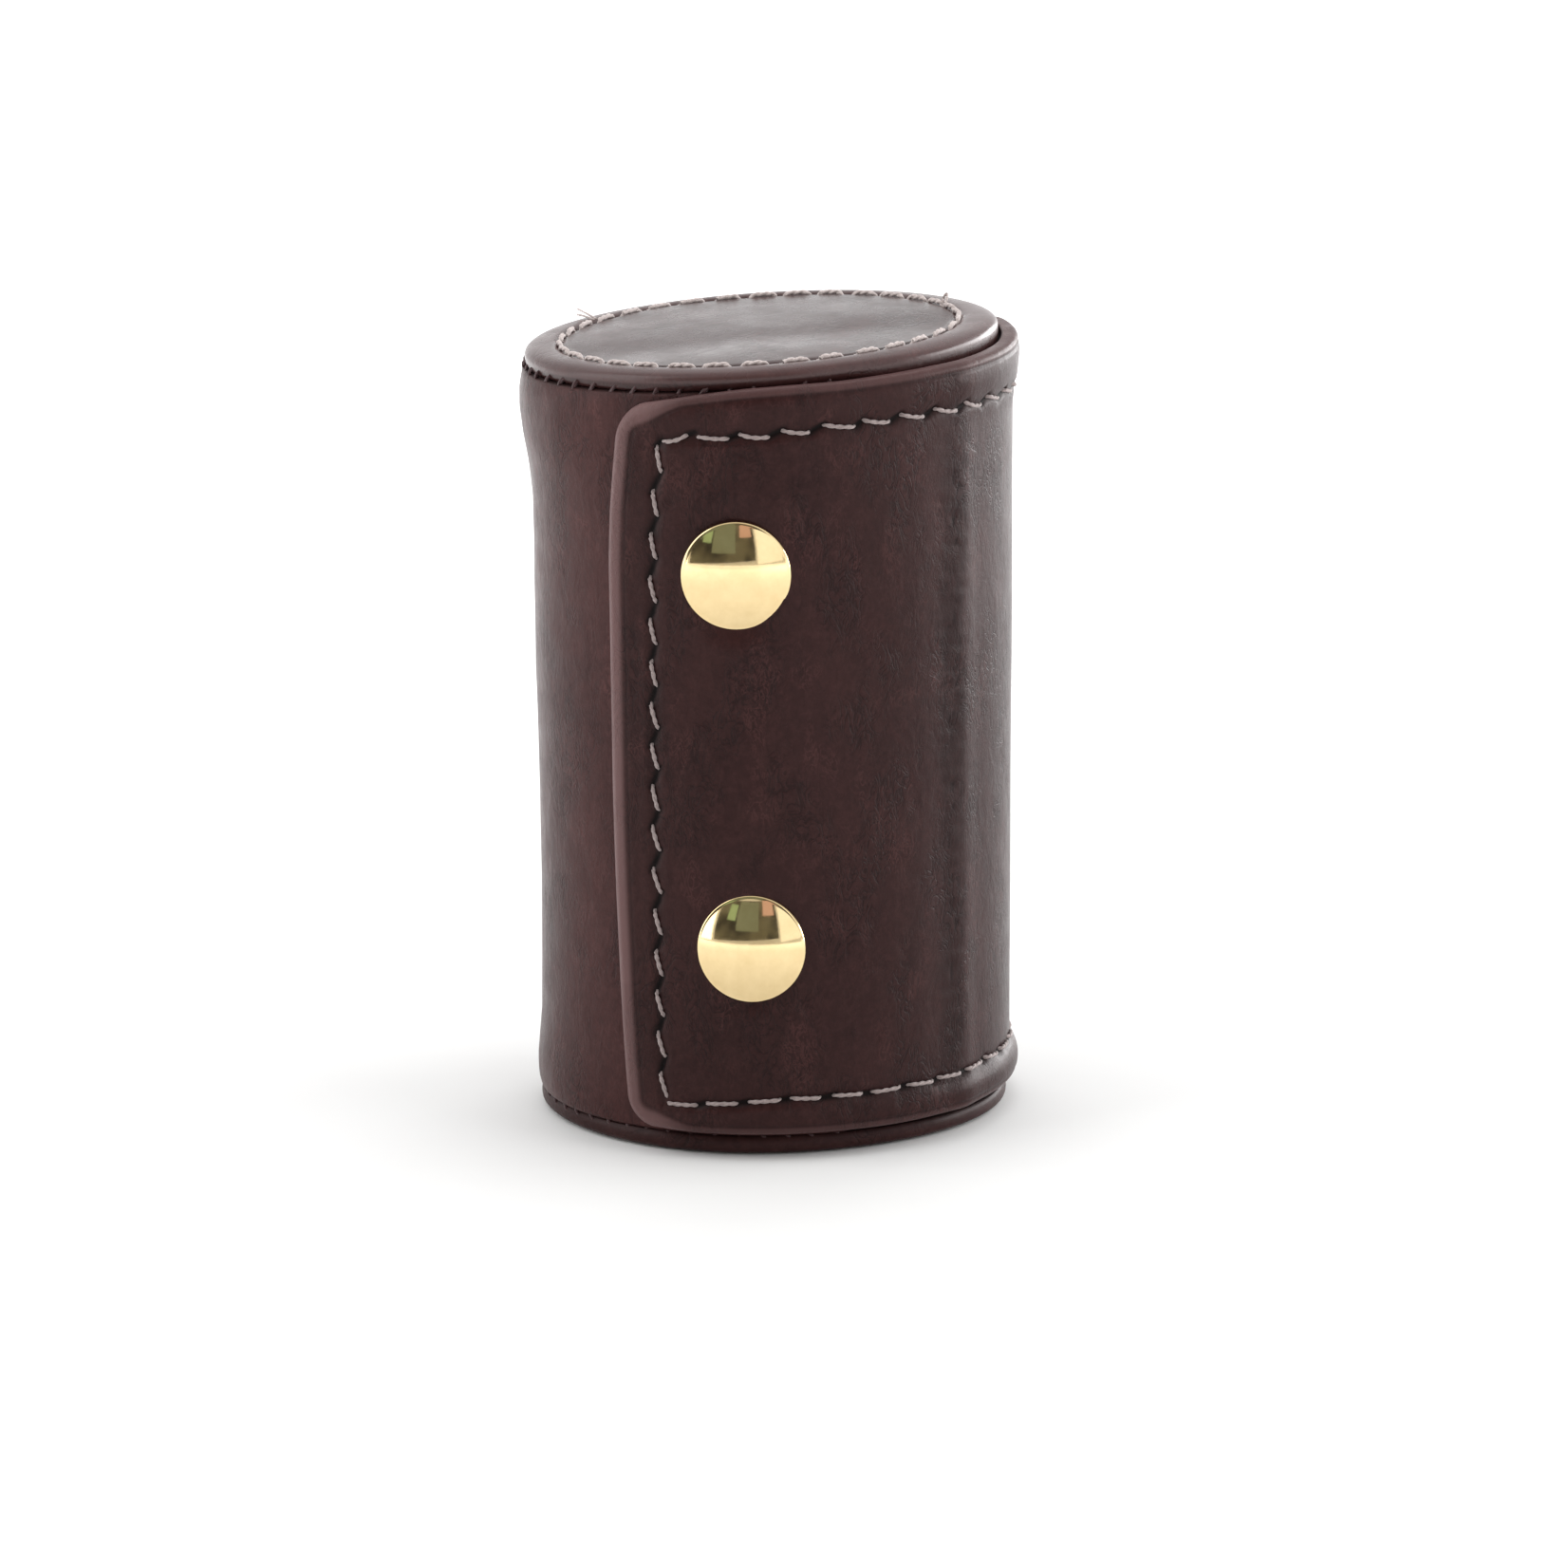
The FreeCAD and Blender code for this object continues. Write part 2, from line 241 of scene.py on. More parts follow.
def make_leather(name, dark, light, rubbed, edge, roughness=0.36, ior=1.18, coat=0.22, relief=1.0):
    """Waxed leather: clouds of two tones, rubbed mottling, dark fibres, wrinkles and pale scuffs."""
    material, tree, shader = new_material(name)
    place = place_input(tree, True)
    tall = stretched(tree, place, (1.0, 0.5, 1.0))
    cloud = noise(tree, tall, 0.07, 4, 0.6, 0.4)
    mottle = noise(tree, place, 0.8, 6, 0.75, 0.3)
    fibre = noise(tree, stretched(tree, place, (1.0, 0.40, 1.0)), 1.5, 5, 0.7, 0.8)
    line = wrinkle_lines(tree, tall, 0.60, 0.46)
    scuff = wrinkle_lines(tree, tall, 0.85, 0.52)
    shade = painted(tree, "shade")
    colour = ramp(tree, cloud, (0.32, dark), (0.68, light))
    colour = mix(tree, span(tree, mottle, 0.44, 0.70, 0.0, 0.38), colour, rubbed)
    colour = mix(tree, span(tree, fibre, 0.50, 0.72, 0.0, 0.40), colour, dimmed(dark, 0.55))
    colour = mix(tree, maths(tree, "MULTIPLY", line, 0.60), colour, dimmed(dark, 0.4))
    colour = mix(tree, maths(tree, "MULTIPLY", scuff, 0.40), colour, dimmed(rubbed, 1.5))
    # Towards the edge tone on worn edges, and for painted highlights on the flap's tip and the top disc's
    # rim.
    colour = mix(tree, painted(tree, "worn_and_highlight"), colour, edge)
    colour = mix(tree, shade, colour, (0.004, 0.002, 0.002))
    rough = span(tree, noise(tree, place, 0.25, 4, 0.6), 0.3, 0.7, roughness - 0.06, roughness + 0.08)
    rough = maths(tree, "ADD", rough, maths(tree, "MULTIPLY", shade, 0.4))
    fill(tree, shader, {"Base Color": colour, "Roughness": rough, "IOR": ior, "Coat Weight": coat,
                        "Coat IOR": 1.25, "Coat Roughness": 0.22})
    pores = bump(tree, shader, noise(tree, place, 2.6, 5, 0.7), 0.045 * relief)
    folds = bump(tree, shader, noise(tree, tall, 0.4, 6, 0.58, 0.9), 0.15 * relief, pores)
    wrinkles = bump(tree, shader, line, -0.05 * relief, folds)
    bump(tree, shader, fibre, 0.02 * relief, wrinkles)
    return material


def make_thread(name, low, high):
    """Waxed thread, a little fuzzy."""
    material, tree, shader = new_material(name)
    place = place_input(tree, True)
    fuzz = noise(tree, place, 3.0, 4, 0.7)
    fill(tree, shader, {"Base Color": ramp(tree, fuzz, (0.3, low), (0.7, high)),
                        "Roughness": span(tree, fuzz, 0, 1, 0.54, 0.70), "Sheen Weight": 0.2})
    bump(tree, shader, noise(tree, place, 9.0, 3, 0.6), 0.03)
    return material


def make_cloth(name, low, high, stored):
    """Thin brushed lining."""
    material, tree, shader = new_material(name)
    place = place_input(tree, stored)
    nap = noise(tree, place, 2.6, 5, 0.7)
    tone = maths(tree, "MULTIPLY", maths(tree, "ADD", noise(tree, place, 0.12, 4, 0.6), nap), 0.5)
    fill(tree, shader, {"Base Color": ramp(tree, tone, (0.36, low), (0.62, high)),
                        "Roughness": span(tree, nap, 0, 1, 0.78, 0.95), "Sheen Weight": 0.3})
    bump(tree, shader, nap, 0.06)
    return material


def make_board(name, low, high):
    """Pulp board."""
    material, tree, shader = new_material(name)
    pulp = noise(tree, place_input(tree, False), 1.6, 5, 0.7)
    fill(tree, shader, {"Base Color": ramp(tree, pulp, (0.3, low), (0.7, high)),
                        "Roughness": span(tree, pulp, 0, 1, 0.82, 0.95)})
    bump(tree, shader, pulp, 0.05)
    return material


def make_metal(name, low, high, roughness, stored, dents):
    """Smooth metal with a faint cloudiness, smears and shallow dents."""
    material, tree, shader = new_material(name)
    place = place_input(tree, stored)
    cloud = noise(tree, place, 0.5, 4, 0.6)
    smear = noise(tree, stretched(tree, place, (1.0, 1.0, 3.0)), 1.2, 5, 0.65)
    fill(tree, shader, {"Base Color": ramp(tree, cloud, (0.3, low), (0.7, high)), "Metallic": 1.0,
                        "Roughness": span(tree, smear, 0.35, 0.75, roughness * 0.7, roughness * 1.5)})
    bump(tree, shader, noise(tree, place, 1.1, 3, 0.5), dents)
    return material


# Dark, light, rubbed, and the worn edge, which also serves for painted highlights.
LEATHER_TONES = ((0.0270, 0.0088, 0.0085), (0.040, 0.0140, 0.0132), (0.068, 0.0260, 0.0245),
                 (0.160, 0.090, 0.088))


def toned(share):
    """The leather's tones painted darker or lighter, for copies of one leather that stand in for light and
    shade, but for its worn edge tone.
    """
    return [dimmed(tone, share) for tone in LEATHER_TONES[:3]] + [LEATHER_TONES[3]]


# The wall and base take a copy painted lighter, as if lit from the left; the flap takes a copy painted
# darker, as if shaded in front.
LIT_LEATHER = make_leather("leather_wall_painted_lit", *toned(1.30))
SHADED_FLAP_LEATHER = make_leather("leather_flap_painted_shaded", *toned(0.80))
DISC_TOP_LEATHER = make_leather("leather_disc", *toned(0.95), roughness=0.27, ior=1.36, coat=0.34,
                                relief=0.4)
THREAD = make_thread("thread", (0.21, 0.160, 0.153), (0.34, 0.275, 0.265))
RING_THREAD = make_thread("ring_thread", (0.46, 0.38, 0.36), (0.68, 0.60, 0.58))
SEAM_THREAD = make_thread("seam_thread", (0.020, 0.004, 0.005), (0.055, 0.010, 0.012))
LINING_TONES = ((0.030, 0.018, 0.015), (0.052, 0.033, 0.028))
LINING = make_cloth("lining", *LINING_TONES, True)
LINING_FIXED = make_cloth("lining_fixed", *LINING_TONES, False)
BOARD = make_board("board", (0.13, 0.105, 0.08), (0.22, 0.18, 0.14))
GOLD = make_metal("snap_gold", (0.79, 0.60, 0.32), (0.87, 0.68, 0.38), 0.075, True, 0.002)
BRASS = make_metal("snap_brass", (0.56, 0.38, 0.15), (0.70, 0.50, 0.23), 0.24, False, 0.006)
STEEL = make_metal("spring_wire", (0.46, 0.45, 0.43), (0.62, 0.61, 0.59), 0.26, False, 0.004)


# ---------------- meshes

def make_object(name, points, faces, materials, rest=None, shade=None, worn_and_highlight=None, face_material=None):
    """A smooth mesh from millimetre points. rest is where each point's texture is read."""
    mesh = bpy.data.meshes.new(name)
    points = np.asarray(points, float).reshape(-1, 3)
    mesh.from_pydata((points * MM).tolist(), [], faces)
    for material in materials:
        mesh.materials.append(material)
    if face_material is not None:
        mesh.polygons.foreach_set("material_index", np.asarray(face_material, np.int32))
    mesh.polygons.foreach_set("use_smooth", np.ones(len(mesh.polygons), bool))
    rest = points if rest is None else np.asarray(rest, float).reshape(-1, 3)
    mesh.attributes.new("rest", "FLOAT_VECTOR", "POINT").data.foreach_set(
        "vector", rest.astype(np.float32).ravel())
    for attribute, values in (("shade", shade), ("worn_and_highlight", worn_and_highlight)):
        values = np.zeros(len(points)) if values is None else np.asarray(values, float).ravel()
        mesh.attributes.new(attribute, "FLOAT", "POINT").data.foreach_set(
            "value", values.astype(np.float32))
    mesh.update()
    made = bpy.data.objects.new(name, mesh)
    bpy.context.scene.collection.objects.link(made)
    return made


def grid_faces(rows, columns, offset=0, wrap=False, flip=False):
    """Quads between neighbouring points of a grid stored row by row."""
    i, j = np.meshgrid(np.arange(rows - 1), np.arange(columns if wrap else columns - 1), indexing="ij")
    k = (j + 1) % columns
    corners = [i * columns + j, i * columns + k, (i + 1) * columns + k, (i + 1) * columns + j]
    if flip:
        corners.reverse()
    return (np.stack(corners, -1).reshape(-1, 4) + offset).tolist()


def capped_faces(rows, columns, offset=0):
    """Faces of a grid that closes on itself sideways, with its first and last rows filled in."""
    last = offset + (rows - 1) * columns
    return (grid_faces(rows, columns, offset, wrap=True)
            + [list(range(offset, offset + columns))[::-1], list(range(last, last + columns))])


def two_sided_faces(rows, columns, open_column=None):
    """Faces of two equal grids, outer then inner, joined round their outline but for one column."""
    half = rows * columns
    outline = (list(range(columns)) + [i * columns + columns - 1 for i in range(1, rows)]
               + [(rows - 1) * columns + j for j in range(columns - 2, -1, -1)]
               + [i * columns for i in range(rows - 2, -1, -1)])
    joins = [[b, a, a + half, b + half] for a, b in zip(outline, outline[1:])
             if not a % columns == b % columns == open_column]
    return grid_faces(rows, columns) + grid_faces(rows, columns, half, flip=True) + joins


def fix_normals(made):
    """Point every face outwards."""
    work = bmesh.new()
    work.from_mesh(made.data)
    bmesh.ops.recalc_face_normals(work, faces=work.faces)
    work.to_mesh(made.data)
    work.free()


def twisted_threads(name, material, stitches, thickness=THREAD_RADIUS, twist=2.1, sides=7):
    """Two-ply stitches, each a list of centre points in order. twist is the length of one turn."""
    rng = np.random.default_rng(11)
    points, faces, start = [], [], 0
    ring = np.arange(sides) * 2 * math.pi / sides
    for path in stitches:
        path = np.asarray(path, float)
        run = np.gradient(path, axis=0)
        run /= np.linalg.norm(run, axis=1)[:, None]
        side = np.cross(run, np.array([0.31, 0.2, 0.93]))
        short = np.linalg.norm(side, axis=1) < 0.2
        side[short] = np.cross(run[short], np.array([1.0, 0.1, 0]))
        side /= np.linalg.norm(side, axis=1)[:, None]
        up = np.cross(side, run)
        length = np.concatenate([[0], np.cumsum(np.linalg.norm(np.diff(path, axis=0), axis=1))])
        phase = rng.uniform(0, 6.3) + length * 2 * math.pi / twist
        for ply in (phase, phase + math.pi):
            centre = path + 0.34 * thickness * (side * np.cos(ply)[:, None] + up * np.sin(ply)[:, None])
            tube = (centre[:, None, :] + 0.70 * thickness *
                    (side[:, None, :] * np.cos(ring)[None, :, None]
                     + up[:, None, :] * np.sin(ring)[None, :, None]))
            points.append(tube.reshape(-1, 3))
            faces += capped_faces(len(path), sides, start)
            start += len(path) * sides
    return make_object(name, np.concatenate(points), faces, [material])


def sewn(ends, surface, rise=0.02, sag=0.0, sink=0.75, steps=15):
    """Centre points of one stitch between two places on a surface; it dives in at both ends."""
    (a0, b0), (a1, b1) = ends
    t = np.linspace(0, 1, steps)
    t = t - 0.03 * np.sin(4 * math.pi * t)
    lift = rise - sink * np.abs(2 * t - 1) ** 7
    hang = sag * (1 - (2 * t - 1) ** 2)
    return surface(a0 + (a1 - a0) * t, b0 + (b1 - b0) * t - hang, lift)


# ---------------- end discs

RING_COUNT = 34  # stitches in a disc's ring
RING_STEP = 360 / RING_COUNT
SHOULDER_RADIUS = RING_RADIUS + 1.4  # where a disc's face starts to turn down over its rim
SHOULDER_DROP = 1.15  # height of the rim's widest place, below the outer face
TOP_CROWN, BASE_CROWN = 0.32, -0.12
TOP_SEED, BASE_SEED = 21, 33
TOP_DEEP = 1.3  # how much deeper the top's rim is where no wall is under it
BASE_SPREAD = 1.35  # how far the base's rim spreads at the right
DISC_GRAIN = 0.55  # scale of the leather's pattern on the discs
HIGHLIGHT_FROM, HIGHLIGHT_TO = 38, 62  # rows of the top disc with a painted highlight, from its ring to its rim


def ring_pattern():
    """Ends of a ring's stitches, as (radius, turn), and the middle and reach of each slit between them."""
    rng = np.random.default_rng(5)
    stitches, slits = [], []
    for i in range(RING_COUNT):
        start = i * RING_STEP + rng.normal(0, 0.35)
        length = RING_STEP * (0.74 + rng.normal(0, 0.02))
        tilt = 0.16 + rng.normal(0, 0.05)
        stitches.append(((RING_RADIUS + tilt, start), (RING_RADIUS - tilt, start + length)))
        slits.append((start + length + RING_STEP * 0.13, RING_STEP * 0.10))
    return stitches, slits


def disc_face(radius, turn, slits, crown, seed):
    """Height of a disc's outer face above its flat CAD face, and how dark a stitch hole makes it."""
    x, y = radius * np.sin(np.radians(turn)), radius * np.cos(np.radians(turn))
    inside = 1 - smooth(radius, RING_RADIUS - 1.5, RING_RADIUS - 0.2)
    dome = crown * (1 - (radius / RING_RADIUS) ** 2) - 0.05
    valley = crown * bell(y + 0.25 * x, 7.5, 7.0)
    height = (dome - valley + 0.10 * ripple(x, y, seed, 26)) * inside
    height = height - 0.26 * bell(radius, RING_RADIUS, 0.50) + 0.10 * bell(radius, SHOULDER_RADIUS, 1.0)
    pit = np.zeros(np.broadcast(radius, turn).shape)
    for middle, reach in slits:
        apart = (turn - middle + 180) % 360 - 180
        pit = np.maximum(pit, bell(apart, 0, reach) * bell(radius, RING_RADIUS, 0.36))
    return height - 0.30 * pit, pit


def disc_rows(turns, rim_radius, deep, crown, seed):
    """A disc's outline from its centre over its rim to its hollow: radius, height and shade of each row."""
    rows = []
    for r in np.concatenate([np.linspace(0.25, RING_RADIUS - 2.0, 30),
                             np.linspace(RING_RADIUS - 1.8, SHOULDER_RADIUS, 17)]):
        height, pit = disc_face(r, turns, ring_slits, crown, seed)
        rows.append((r, height, pit))
    shoulder = rows[-1][1]
    for angle in np.linspace(0, math.pi / 2, 16)[1:]:
        rows.append((SHOULDER_RADIUS + (rim_radius - SHOULDER_RADIUS) * math.sin(angle) ** 0.86,
                     (shoulder + SHOULDER_DROP) * max(math.cos(angle), 0) ** 0.72 - SHOULDER_DROP, 0))
    tall = DISC + 0.02 + deep
    for share in np.linspace(0, 1, 9)[1:]:
        angle = share * math.pi / 2
        rows.append((rim_radius - 0.50 * (1 - math.cos(angle)),
                     -SHOULDER_DROP - (tall - SHOULDER_DROP) * math.sin(angle), 0.5 * share ** 3))
    roof = -DISC_LEATHER + 0.03
    rows += [(DISC_HOLLOW + 0.12, -tall, 0), (DISC_HOLLOW + 0.02, 0.06 - tall, 0),
             (DISC_HOLLOW + 0.02, roof, 0), (DISC_HOLLOW * 0.5, roof, 0), (0.25, roof, 0)]
    return [np.stack(np.broadcast_arrays(*row, turns)[:3]) for row in rows]


def disc_pad(name, is_top, material, widen, crown, seed, placing):
    """A padded disc: crowned centre, ring channel, puffed rim turned over a board."""
    turns = np.linspace(0, 360, 541)[:-1]
    rim_radius = RADIUS + widen * np.sin(np.radians(turns)) ** 2
    rim_radius = rim_radius + 0.10 * ripple(turns * 0.5, 0 * turns, seed + 1, 24)
    if is_top:  # It is wider at the right, and deeper where no wall is under it.
        rim_radius = rim_radius + 0.35 * bell(turns, 82, 28)
        deep = TOP_DEEP * smooth(turns, 27, 38) * (1 - smooth(turns, 92, 101))
    else:
        rim_radius = rim_radius + BASE_SPREAD * smooth(turns, 20, 80) * (1 - smooth(turns, 105, 150))
        deep = 0 * turns
    radii, heights, shade = np.stack(disc_rows(turns, rim_radius, deep, crown, seed), 1)
    row = np.arange(len(radii))[:, None]
    # A painted highlight over the top disc's rim, where it faces the light from above.
    worn_and_highlight = 0.26 * smooth(row, HIGHLIGHT_FROM, HIGHLIGHT_FROM + 3) * (row < HIGHLIGHT_TO) * np.ones(turns.shape)
    if not is_top:
        heights = np.minimum(heights, 0)
        shade = np.clip(shade + 0.35, 0, 1)
        worn_and_highlight = 0 * worn_and_highlight
    points = around(radii, turns, heights)
    made = make_object(name, placing(points), capped_faces(*radii.shape), [material],
                       points * DISC_GRAIN, shade, worn_and_highlight)
    fix_normals(made)
    return made


def top_place(points):
    """From a disc's own height, 0 on its outer face, to the leaning top of the case."""
    up = Vector((-SLOPE_X, -SLOPE_Y, 1)).normalized()
    turn = np.array(Vector((0, 0, 1)).rotation_difference(up).to_matrix())
    return np.asarray(points) @ turn.T + np.array([0, 0, HEIGHT])


def base_place(points):
    """A disc turned over, with its outer face down."""
    return np.asarray(points, float) * np.array([1, 1, -1.0])


def ring_thread(name, placing, crown, seed, rise, thickness=THREAD_RADIUS):
    """The stitches of a disc's ring."""
    def surface(radius, turn, lift):
        height, _ = disc_face(radius, turn, [], crown, seed)
        return placing(around(radius, turn, height + 0.24 + lift))
    stitches = [sewn(ends, surface, rise) for ends in ring_stitches]
    return twisted_threads(name, RING_THREAD, stitches, thickness)


def curl(start, middle, end):
    """Centre points of a loose thread's end, from three points given as (radius, turn, height)."""
    p, q, r = [around(*point) for point in (start, middle, end)]
    t = np.linspace(0, 1, 12)[:, None]
    return top_place((1 - t) ** 2 * p + 2 * t * (1 - t) * q + t ** 2 * r)


ring_stitches, ring_slits = ring_pattern()
top_pad = disc_pad("top_pad", True, DISC_TOP_LEATHER, 0.7, TOP_CROWN, TOP_SEED, top_place)
base_pad = disc_pad("base_pad", False, LIT_LEATHER, 0.25, BASE_CROWN, BASE_SEED, base_place)
top_thread = ring_thread("top_thread", top_place, TOP_CROWN, TOP_SEED, 0.17, 0.31)
tail_thread = twisted_threads("top_thread_tails", RING_THREAD, [
    curl((24.0, -121, 0.0), (25.8, -121.5, 0.7), (27.9, -123.5, 0.9)),
    curl((24.1, -120, 0.0), (25.5, -120, 0.5), (27.0, -121.0, 0.45)),
    curl((23.6, 115, 0.1), (24.2, 116, 0.8), (24.6, 118.5, 1.0)),
    curl((23.7, 117, 0.1), (23.9, 118, 0.8), (24.2, 116.5, 1.2))], 0.16, 0.9)
base_thread = ring_thread("base_thread", base_place, BASE_CROWN, BASE_SEED, -0.2)


# ---------------- wall

# The wall's bulges: distance from the axis at each height, at the left, and how much shows at each turn.
LEFT_PROFILE = [(2.2, 27.45), (3.6, 27.75), (5.6, 27.78), (7.6, 27.58), (11.4, 27.17), (18, 27.0),
                (27, 26.86), (38, 26.87), (46, 27.02), (53, 27.14), (60, 26.98), (68, 26.84),
                (73.5, 26.9), (77.5, 27.3), (81, 27.9), (84, 28.25), (86.5, 28.2), (89, 27.7), (93, 27.4)]
BULGE_ROUND = [(102, 0.15), (140, 0.3), (180, 0.6), (225, 0.85), (262, 1.0), (290, 1.0), (308, 0.75),
               (320, 0.4), (330, 0.08), (342, 0.0), (385, 0.0)]


def top_seam(turn, radius=RADIUS):
    """Height of the top disc's underside at the wall."""
    x, y = radius * np.sin(np.radians(turn)), -radius * np.cos(np.radians(turn))
    return HEIGHT - DISC * math.sqrt(1 + SLOPE_X ** 2 + SLOPE_Y ** 2) + SLOPE_X * x + SLOPE_Y * y


def wall_face(turn, z):
    """Distance of the wall's outer face from the axis."""
    shape = np.interp(z, *np.array(LEFT_PROFILE).T)
    bulge = np.interp(turn, *np.array(BULGE_ROUND).T)
    waves = 0.07 * ripple(turn * WALL_WAVE, z, 41, 30) * bulge
    return RADIUS + (shape - RADIUS) * bulge + waves


def snap_ways(level):
    """At a snap: the ways out and sideways, and its height."""
    turn, height = SNAPS[level]
    a = math.radians(turn)
    return np.array([math.sin(a), -math.cos(a), 0]), np.array([math.cos(a), math.sin(a), 0]), height


def press(points, level, reach, depth, fade):
    """Push points in towards the axis so that none stands out past depth near a snap."""
    out, side, height = snap_ways(level)
    apart = np.hypot(points @ side, points[..., 2] - height)
    outwards = points @ out
    amount = np.clip(outwards - depth, 0, None) * (1 - smooth(apart, reach, reach + fade))
    return points - np.where(outwards > 0, amount, 0)[..., None] * out


def wall_grid():
    """Turns and heights of the wall's points, packed along its edges, and their distances from its rims."""
    ends = np.array([0, 0.12, 0.4, 0.9, 1.5, 2.1, 2.4, 2.6])
    turns = np.concatenate([WALL_FROM + ends, np.linspace(WALL_FROM + 3.4, 340, 225),
                            np.linspace(340.9, WALL_TO - 3.4, 62), (WALL_TO - ends)[::-1]])
    edge = WALL_ROUND * (1 - np.cos(np.linspace(0, math.pi / 2, 7)))
    share = np.linspace(0, 1, 140)[1:-1]
    high = top_seam(turns)
    z = np.stack([np.concatenate([DISC + edge, DISC + WALL_ROUND + share * (h - DISC - 2 * WALL_ROUND),
                                  (h - edge)[::-1]]) for h in high], 1)
    return np.broadcast_to(turns, z.shape), z, np.minimum(z - DISC, high - z)


def make_wall():
    """The wall's leather: bulged outside, rounded edges, a hollow for the board between its two lips."""
    turn, z, edge = wall_grid()
    end_gap = np.minimum(turn - WALL_FROM, WALL_TO - turn) * WALL_ARC
    end_drop = round_over(end_gap, WALL_ROUND)
    outer_r = wall_face(turn, z) - round_over(edge, WALL_ROUND) - end_drop
    inner_r = np.where(end_gap < WALL_LIP * WALL_ARC, WALL_IN + 0.5 * end_drop, BOARD_OUT + 0.01)
    outer = around(outer_r, turn, z)
    for level in SNAPS:
        outer = press(outer, level, reach=4.65, depth=26.65, fade=1.3)
    rest = [np.stack([turn * WALL_ARC, z, r], -1) for r in (outer_r, inner_r)]
    shade = 0.75 * (1 - smooth(edge, 0.0, 0.3))
    made = make_object("wall_skin", [outer, around(inner_r, turn, z)], two_sided_faces(*z.shape), [LIT_LEATHER],
                       rest, [shade, 0 * shade])
    fix_normals(made)
    return made


def seam_stitches(name, height_at, slant, depth, depth_spread, count=46):
    """Small slanting stitches over the seam between the wall and a disc."""
    step = (WALL_TO - WALL_FROM) / count
    rng = np.random.default_rng(71)
    t = np.linspace(-1, 1, 11)
    made = []
    for i in range(count):
        turn = WALL_FROM + (i + 0.5) * step
        seam = height_at(turn)
        lean = 1.0 + rng.normal(0, 0.25)
        turns = turn + lean * t + rng.normal(0, 0.2)
        sunk = depth + (abs(rng.normal(0, depth_spread)) if depth_spread else 0)
        radii = wall_face(turn, np.clip(seam, 3, 88)) - sunk - 0.50 * np.abs(t) ** 3
        made.append(around(radii, turns, seam + slant * t))
    return twisted_threads(name, SEAM_THREAD, made, SEAM_THREAD_RADIUS)


def wall_end_surface(turn, z, lift):
    return around(wall_face(turn + 360, z) + lift - 0.12, turn, z)


wall_skin = make_wall()
top_seam_stitches = seam_stitches("top_seam_stitches", top_seam, 0.75, 0.28, 0.10)
base_seam_stitches = seam_stitches("base_seam_stitches", lambda turn: DISC, -0.7, 0.50, 0.0)
wall_edge_thread = twisted_threads("wall_edge_thread", THREAD, [
    sewn(((20.5, z), (19.6, z + 3.4)), wall_end_surface) for z in 5.0 + 4.75 * np.arange(17)])


# ---------------- flap

# The flap's outline and its rows of stitches, as (height, turn) along its tip and (turn, height) elsewhere.
TIP_EDGE = [(2.5, -29.0), (5.5, -29.6), (9, -30.2), (14, -30.9), (20, -31.5), (30, -32.1), (42, -32.5),
            (56, -32.6), (69, -32.4), (75, -31.7), (80, -30.6), (84, -29.6), (90, -28.5)]
TOP_EDGE = [(-34, 86.0), (-24, 86.9), (-15, 87.6), (-7, 88.2), (1, 88.7), (12, 89.05), (24, 89.3),
            (36, 89.75), (50, 90.3), (65, 90.8), (80, 91.35), (95, 92.1), (112, 92.7), (140, 92.2)]
BOTTOM_EDGE = [(-34, 3.1), (0, 3.0), (60, 3.0), (140, 3.0)]
TOP_ROW = [(-20, 83.2), (-14, 83.3), (0, 83.55), (11, 83.95), (22, 84.5), (33, 84.8), (48, 85.3),
           (64, 85.6), (85, 85.9), (105, 86.2), (140, 86.0)]
BOTTOM_ROW = [(-20, 6.2), (-14.7, 6.35), (-5, 6.75), (5, 7.15), (14, 7.3), (44, 7.35), (65, 7.6),
              (140, 7.6)]
SIDE_ROW = [(5, -19.1), (7, -19.2), (13, -20.0), (20, -20.2), (63, -20.3), (70, -19.9), (76, -19.2),
            (83.5, -17.4)]
STRIP_ROW = 136.0  # turn of the row that holds the root strip
TIP_CORNER = 3.6  # radius of the tip's two corners
TIP_ROUND, EDGE_ROUND_OUT = 1.3, 0.7  # rounding of the outer face along the tip, and elsewhere
EDGE_ROUND_IN = 0.3
TIP_STRIP, EDGE_STRIP = 2.6, 0.9  # width of the paler strip, worn leather and near the tip also a painted highlight, along the tip and elsewhere
PACKED = 6.6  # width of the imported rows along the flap's edges


def flap_faces(turn, z):
    """Distances of the flap's outer and inner faces from the axis, before stitching and snaps.

    Its side stands off more towards the top, and flares at its top and bottom. It has a soft ridge at its
    crease, and past its root hinge its inner face lies on the wall."""
    side = smooth(turn, 22, 66) * (1 - smooth(turn, 108, 126))
    body = 0.0076 * (z - 42) * side
    ridge = 0.36 * bell(turn, CREASE_TURN - 0.5, 4.6) * (1 - 0.5 * smooth(z, 74, 88))
    top_flare = 0.55 * side * smooth(z, 83.5, 88.0)
    low_flare = side * (0.85 * (1 - smooth(z, 5.0, 9.0)) - 0.75 * (1 - smooth(z, 1.6, 4.4)))
    waves = 0.06 * ripple(turn * FLAP_WAVE, z, 51, 24)
    bend = body + ridge + top_flare + low_flare + waves
    hold = 1 - smooth(turn, 100, 109)
    outer = FLAP_OUT + bend - 0.25 * smooth(turn, 110, 138)
    inner = FLAP_IN + bend * hold - 0.27 * (1 - hold)
    return outer, inner


def tip_at(z):
    return along(z, TIP_EDGE)


def top_at(turn):
    return along(turn, TOP_EDGE)


def bottom_at(turn):
    return along(turn, BOTTOM_EDGE)


